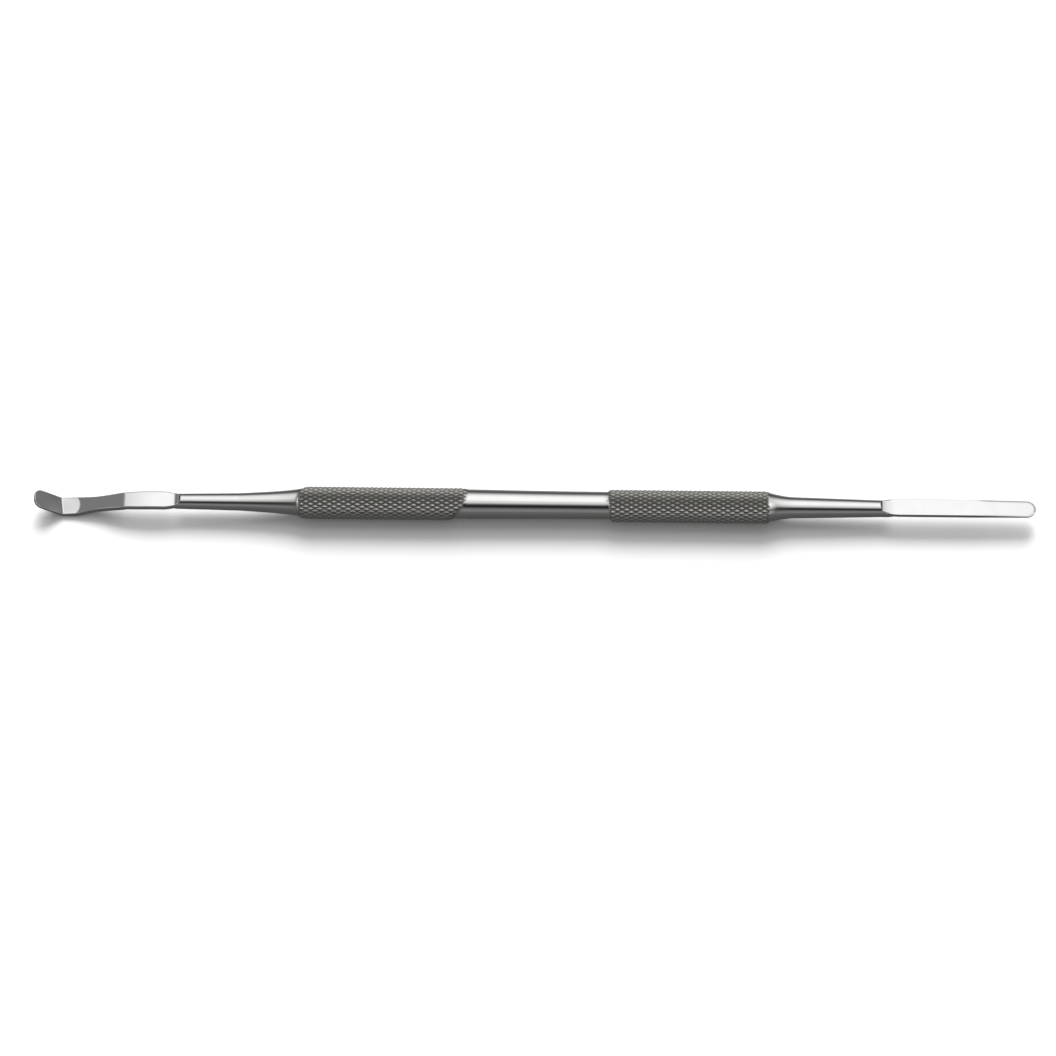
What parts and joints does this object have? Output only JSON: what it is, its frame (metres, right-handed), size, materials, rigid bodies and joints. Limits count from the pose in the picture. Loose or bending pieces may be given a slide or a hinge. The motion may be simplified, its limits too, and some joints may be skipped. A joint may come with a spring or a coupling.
{
  "type": "cuticle pusher",
  "caption": "Slim steel hand tool: knurled round handle with a plain polished centre, an angled pusher foot at one end and a straight round-nosed spatula at the other.",
  "frame": {"origin": "on the handle axis, halfway between the pusher's tip and the spatula's tip", "axes": "+X along the handle towards the spatula, +Z the side that both flats face, Y across the flats"},
  "size_m": [0.1501, 0.0048, 0.0048],
  "materials": {
    "handle_steel": "stainless steel, satin on the rolled diamond knurls and mirror-polished on the plain centre and the end flares",
    "tip_steel": "mirror-polished stainless steel, no plating",
    "silver_braze": "bare silver brazing alloy, hidden inside the joints"
  },
  "bodies": {
    "root": {"handle": "handle_steel", "pusher_end": "tip_steel", "spatula_end": "tip_steel", "pusher_braze": "silver_braze", "spatula_braze": "silver_braze"}
  },
  "joints": []
}
